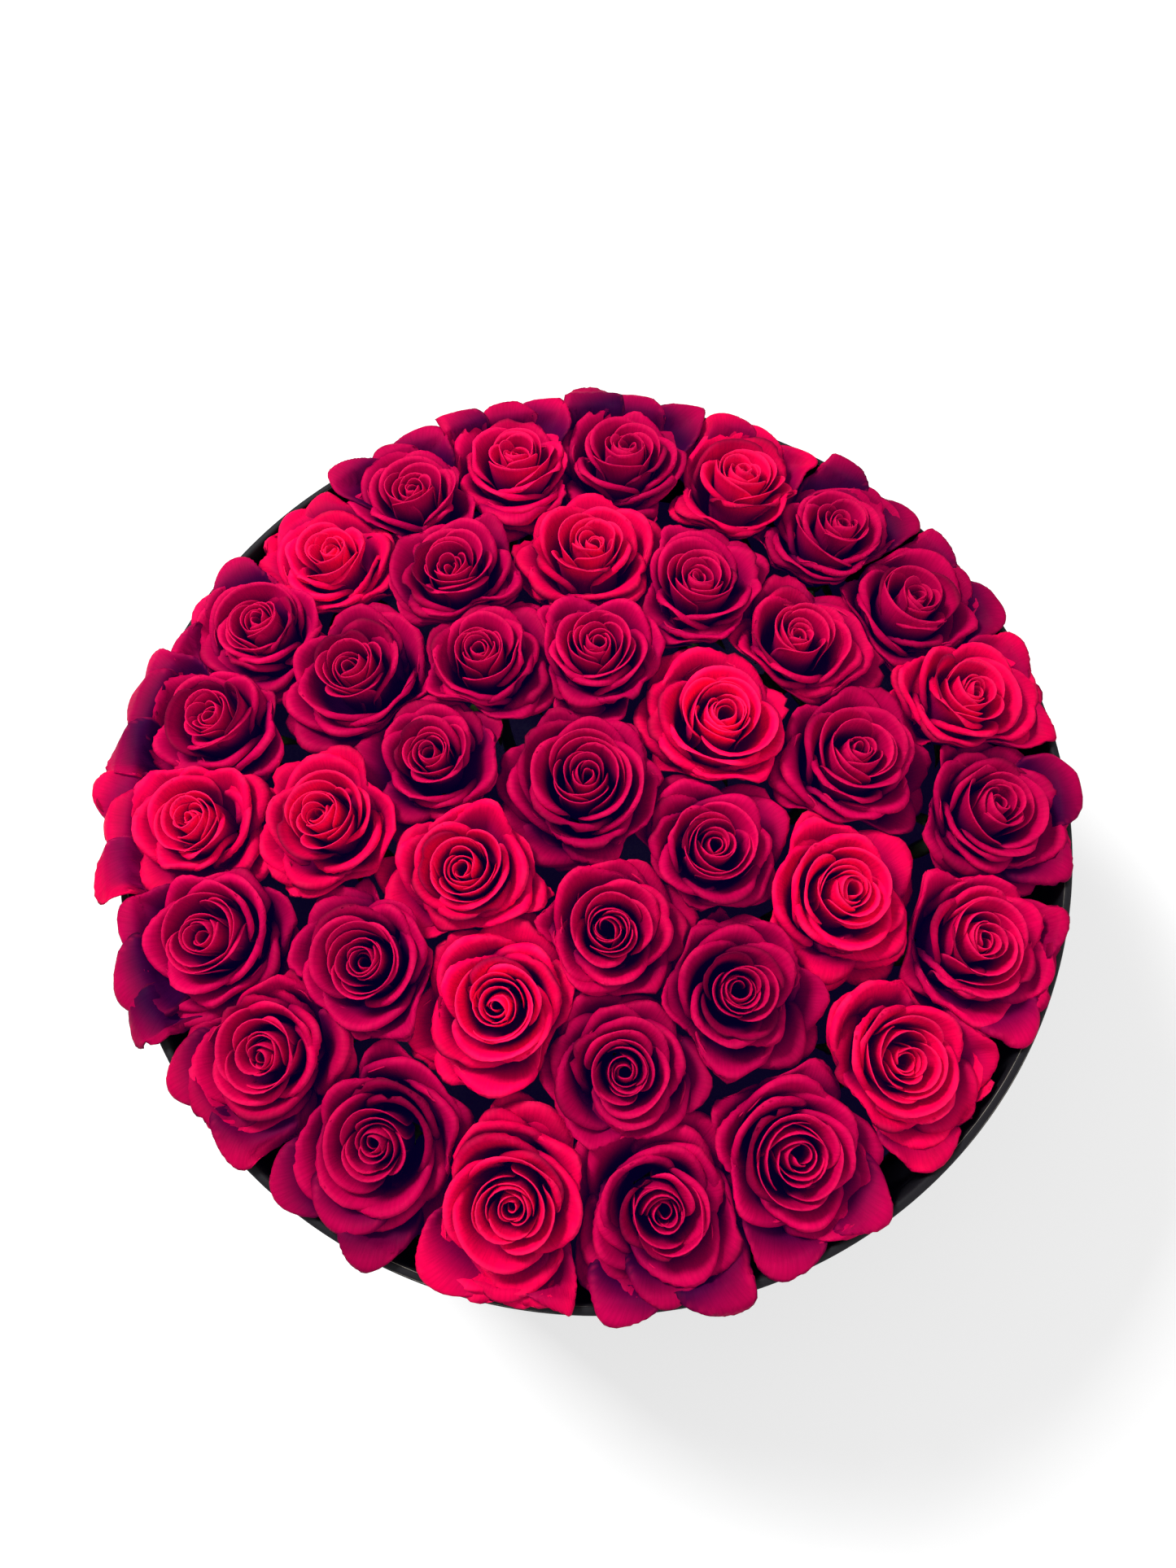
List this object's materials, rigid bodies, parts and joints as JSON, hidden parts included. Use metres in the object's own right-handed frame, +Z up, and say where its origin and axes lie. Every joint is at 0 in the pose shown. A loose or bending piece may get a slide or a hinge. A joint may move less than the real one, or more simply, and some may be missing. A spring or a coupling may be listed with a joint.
{
  "type": "round flower box",
  "caption": "Round black paper-covered box with a lift-out liner of foam blocks, filled to the rim with red roses that pull out one by one.",
  "frame": {"origin": "centre of the underside of the box", "axes": "+Z up through the centre of the box, -Y towards the viewer of the picture"},
  "size_m": [0.3546, 0.356, 0.203],
  "materials": {
    "greyboard": "matte",
    "cover_paper": "matte",
    "lining_paper": "matte",
    "liner_plastic": "satin",
    "flower_foam": "matte",
    "petals_scarlet": "matte",
    "petals_red": "matte",
    "petals_crimson": "matte"
  },
  "bodies": {
    "box": {"box_wall": "greyboard", "box_base": "greyboard", "outer_wrap": "cover_paper", "wall_lining": "lining_paper", "floor_lining": "lining_paper", "base_paper": "lining_paper"},
    "insert": {"water_liner": "liner_plastic", "foam_front_left": "flower_foam", "foam_front_middle": "flower_foam", "foam_front_right": "flower_foam", "foam_back_left": "flower_foam", "foam_back_middle": "flower_foam", "foam_back_right": "flower_foam"},
    "rose_outer_01": {"rose_outer_01": "petals_crimson"},
    "rose_outer_02": {"rose_outer_02": "petals_scarlet"},
    "rose_outer_03": {"rose_outer_03": "petals_crimson"},
    "rose_outer_04": {"rose_outer_04": "petals_crimson"},
    "rose_outer_05": {"rose_outer_05": "petals_scarlet"},
    "rose_outer_06": {"rose_outer_06": "petals_crimson"},
    "rose_outer_07": {"rose_outer_07": "petals_red"},
    "rose_outer_08": {"rose_outer_08": "petals_scarlet"},
    "rose_outer_09": {"rose_outer_09": "petals_crimson"},
    "rose_outer_10": {"rose_outer_10": "petals_crimson"},
    "rose_outer_11": {"rose_outer_11": "petals_scarlet"},
    "rose_outer_12": {"rose_outer_12": "petals_crimson"},
    "rose_outer_13": {"rose_outer_13": "petals_red"},
    "rose_outer_14": {"rose_outer_14": "petals_crimson"},
    "rose_outer_15": {"rose_outer_15": "petals_scarlet"},
    "rose_outer_16": {"rose_outer_16": "petals_crimson"},
    "rose_outer_17": {"rose_outer_17": "petals_crimson"},
    "rose_outer_18": {"rose_outer_18": "petals_scarlet"},
    "rose_outer_19": {"rose_outer_19": "petals_crimson"},
    "rose_outer_20": {"rose_outer_20": "petals_red"},
    "rose_middle_01": {"rose_middle_01": "petals_scarlet"},
    "rose_middle_02": {"rose_middle_02": "petals_crimson"},
    "rose_middle_03": {"rose_middle_03": "petals_red"},
    "rose_middle_04": {"rose_middle_04": "petals_crimson"},
    "rose_middle_05": {"rose_middle_05": "petals_scarlet"},
    "rose_middle_06": {"rose_middle_06": "petals_crimson"},
    "rose_middle_07": {"rose_middle_07": "petals_crimson"},
    "rose_middle_08": {"rose_middle_08": "petals_scarlet"},
    "rose_middle_09": {"rose_middle_09": "petals_crimson"},
    "rose_middle_10": {"rose_middle_10": "petals_scarlet"},
    "rose_middle_11": {"rose_middle_11": "petals_crimson"},
    "rose_middle_12": {"rose_middle_12": "petals_crimson"},
    "rose_inner_01": {"rose_inner_01": "petals_crimson"},
    "rose_inner_02": {"rose_inner_02": "petals_crimson"},
    "rose_inner_03": {"rose_inner_03": "petals_scarlet"},
    "rose_inner_04": {"rose_inner_04": "petals_crimson"},
    "rose_inner_05": {"rose_inner_05": "petals_red"},
    "rose_inner_06": {"rose_inner_06": "petals_scarlet"},
    "rose_inner_07": {"rose_inner_07": "petals_crimson"},
    "rose_centre_01": {"rose_centre_01": "petals_crimson"}
  },
  "joints": [
    {"name": "insert_lift", "type": "slide", "parent": "box", "child": "insert", "axis": [0, 0, 1], "range_m": [0, 0.17]},
    {"name": "rose_outer_01_pull", "type": "slide", "parent": "insert", "child": "rose_outer_01", "axis": [0.0207, 0.237, 0.9713], "range_m": [0, 0.055]},
    {"name": "rose_outer_02_pull", "type": "slide", "parent": "insert", "child": "rose_outer_02", "axis": [0.0968, 0.2173, 0.9713], "range_m": [0, 0.055]},
    {"name": "rose_outer_03_pull", "type": "slide", "parent": "insert", "child": "rose_outer_03", "axis": [0.1561, 0.1795, 0.9713], "range_m": [0, 0.055]},
    {"name": "rose_outer_04_pull", "type": "slide", "parent": "insert", "child": "rose_outer_04", "axis": [0.2017, 0.1261, 0.9713], "range_m": [0, 0.055]},
    {"name": "rose_outer_05_pull", "type": "slide", "parent": "insert", "child": "rose_outer_05", "axis": [0.2298, 0.0616, 0.9713], "range_m": [0, 0.055]},
    {"name": "rose_outer_06_pull", "type": "slide", "parent": "insert", "child": "rose_outer_06", "axis": [0.2375, -0.0124, 0.9713], "range_m": [0, 0.055]},
    {"name": "rose_outer_07_pull", "type": "slide", "parent": "insert", "child": "rose_outer_07", "axis": [0.219, -0.0929, 0.9713], "range_m": [0, 0.055]},
    {"name": "rose_outer_08_pull", "type": "slide", "parent": "insert", "child": "rose_outer_08", "axis": [0.1695, -0.1581, 0.9728], "range_m": [0, 0.055]},
    {"name": "rose_outer_09_pull", "type": "slide", "parent": "insert", "child": "rose_outer_09", "axis": [0.1066, -0.2092, 0.972], "range_m": [0, 0.055]},
    {"name": "rose_outer_10_pull", "type": "slide", "parent": "insert", "child": "rose_outer_10", "axis": [0.0331, -0.2356, 0.9713], "range_m": [0, 0.055]},
    {"name": "rose_outer_11_pull", "type": "slide", "parent": "insert", "child": "rose_outer_11", "axis": [-0.0454, -0.2335, 0.9713], "range_m": [0, 0.055]},
    {"name": "rose_outer_12_pull", "type": "slide", "parent": "insert", "child": "rose_outer_12", "axis": [-0.1174, -0.2034, 0.972], "range_m": [0, 0.055]},
    {"name": "rose_outer_13_pull", "type": "slide", "parent": "insert", "child": "rose_outer_13", "axis": [-0.1822, -0.1529, 0.9713], "range_m": [0, 0.055]},
    {"name": "rose_outer_14_pull", "type": "slide", "parent": "insert", "child": "rose_outer_14", "axis": [-0.2205, -0.0891, 0.9713], "range_m": [0, 0.055]},
    {"name": "rose_outer_15_pull", "type": "slide", "parent": "insert", "child": "rose_outer_15", "axis": [-0.237, -0.0207, 0.9713], "range_m": [0, 0.055]},
    {"name": "rose_outer_16_pull", "type": "slide", "parent": "insert", "child": "rose_outer_16", "axis": [-0.2335, 0.0454, 0.9713], "range_m": [0, 0.055]},
    {"name": "rose_outer_17_pull", "type": "slide", "parent": "insert", "child": "rose_outer_17", "axis": [-0.2106, 0.1073, 0.9717], "range_m": [0, 0.055]},
    {"name": "rose_outer_18_pull", "type": "slide", "parent": "insert", "child": "rose_outer_18", "axis": [-0.1684, 0.157, 0.9731], "range_m": [0, 0.055]},
    {"name": "rose_outer_19_pull", "type": "slide", "parent": "insert", "child": "rose_outer_19", "axis": [-0.1189, 0.206, 0.9713], "range_m": [0, 0.055]},
    {"name": "rose_outer_20_pull", "type": "slide", "parent": "insert", "child": "rose_outer_20", "axis": [-0.0535, 0.2318, 0.9713], "range_m": [0, 0.055]},
    {"name": "rose_middle_01_pull", "type": "slide", "parent": "insert", "child": "rose_middle_01", "axis": [-0.0028, 0.1579, 0.9875], "range_m": [0, 0.055]},
    {"name": "rose_middle_02_pull", "type": "slide", "parent": "insert", "child": "rose_middle_02", "axis": [0.0673, 0.1321, 0.9889], "range_m": [0, 0.055]},
    {"name": "rose_middle_03_pull", "type": "slide", "parent": "insert", "child": "rose_middle_03", "axis": [0.1278, 0.0928, 0.9875], "range_m": [0, 0.055]},
    {"name": "rose_middle_04_pull", "type": "slide", "parent": "insert", "child": "rose_middle_04", "axis": [0.1571, 0.0165, 0.9875], "range_m": [0, 0.055]},
    {"name": "rose_middle_05_pull", "type": "slide", "parent": "insert", "child": "rose_middle_05", "axis": [0.1419, -0.0692, 0.9875], "range_m": [0, 0.055]},
    {"name": "rose_middle_06_pull", "type": "slide", "parent": "insert", "child": "rose_middle_06", "axis": [0.0786, -0.1257, 0.9889], "range_m": [0, 0.055]},
    {"name": "rose_middle_07_pull", "type": "slide", "parent": "insert", "child": "rose_middle_07", "axis": [0.0147, -0.1685, 0.9856], "range_m": [0, 0.055]},
    {"name": "rose_middle_08_pull", "type": "slide", "parent": "insert", "child": "rose_middle_08", "axis": [-0.0537, -0.133, 0.9897], "range_m": [0, 0.055]},
    {"name": "rose_middle_09_pull", "type": "slide", "parent": "insert", "child": "rose_middle_09", "axis": [-0.1296, -0.1087, 0.9856], "range_m": [0, 0.055]},
    {"name": "rose_middle_10_pull", "type": "slide", "parent": "insert", "child": "rose_middle_10", "axis": [-0.1576, -0.025, 0.9872], "range_m": [0, 0.055]},
    {"name": "rose_middle_11_pull", "type": "slide", "parent": "insert", "child": "rose_middle_11", "axis": [-0.1491, 0.0727, 0.9861], "range_m": [0, 0.055]},
    {"name": "rose_middle_12_pull", "type": "slide", "parent": "insert", "child": "rose_middle_12", "axis": [-0.0905, 0.1448, 0.9853], "range_m": [0, 0.055]},
    {"name": "rose_inner_01_pull", "type": "slide", "parent": "insert", "child": "rose_inner_01", "axis": [-0.0698, 0.0776, 0.9945], "range_m": [0, 0.055]},
    {"name": "rose_inner_02_pull", "type": "slide", "parent": "insert", "child": "rose_inner_02", "axis": [0.0014, 0.083, 0.9965], "range_m": [0, 0.055]},
    {"name": "rose_inner_03_pull", "type": "slide", "parent": "insert", "child": "rose_inner_03", "axis": [0.0754, 0.0384, 0.9964], "range_m": [0, 0.055]},
    {"name": "rose_inner_04_pull", "type": "slide", "parent": "insert", "child": "rose_inner_04", "axis": [0.0675, -0.0455, 0.9967], "range_m": [0, 0.055]},
    {"name": "rose_inner_05_pull", "type": "slide", "parent": "insert", "child": "rose_inner_05", "axis": [0.0097, -0.0924, 0.9957], "range_m": [0, 0.055]},
    {"name": "rose_inner_06_pull", "type": "slide", "parent": "insert", "child": "rose_inner_06", "axis": [-0.0755, -0.0569, 0.9955], "range_m": [0, 0.055]},
    {"name": "rose_inner_07_pull", "type": "slide", "parent": "insert", "child": "rose_inner_07", "axis": [-0.0971, 0.0119, 0.9952], "range_m": [0, 0.055]},
    {"name": "rose_centre_01_pull", "type": "slide", "parent": "insert", "child": "rose_centre_01", "axis": [-0.007, -0.0045, 1], "range_m": [0, 0.055]}
  ]
}
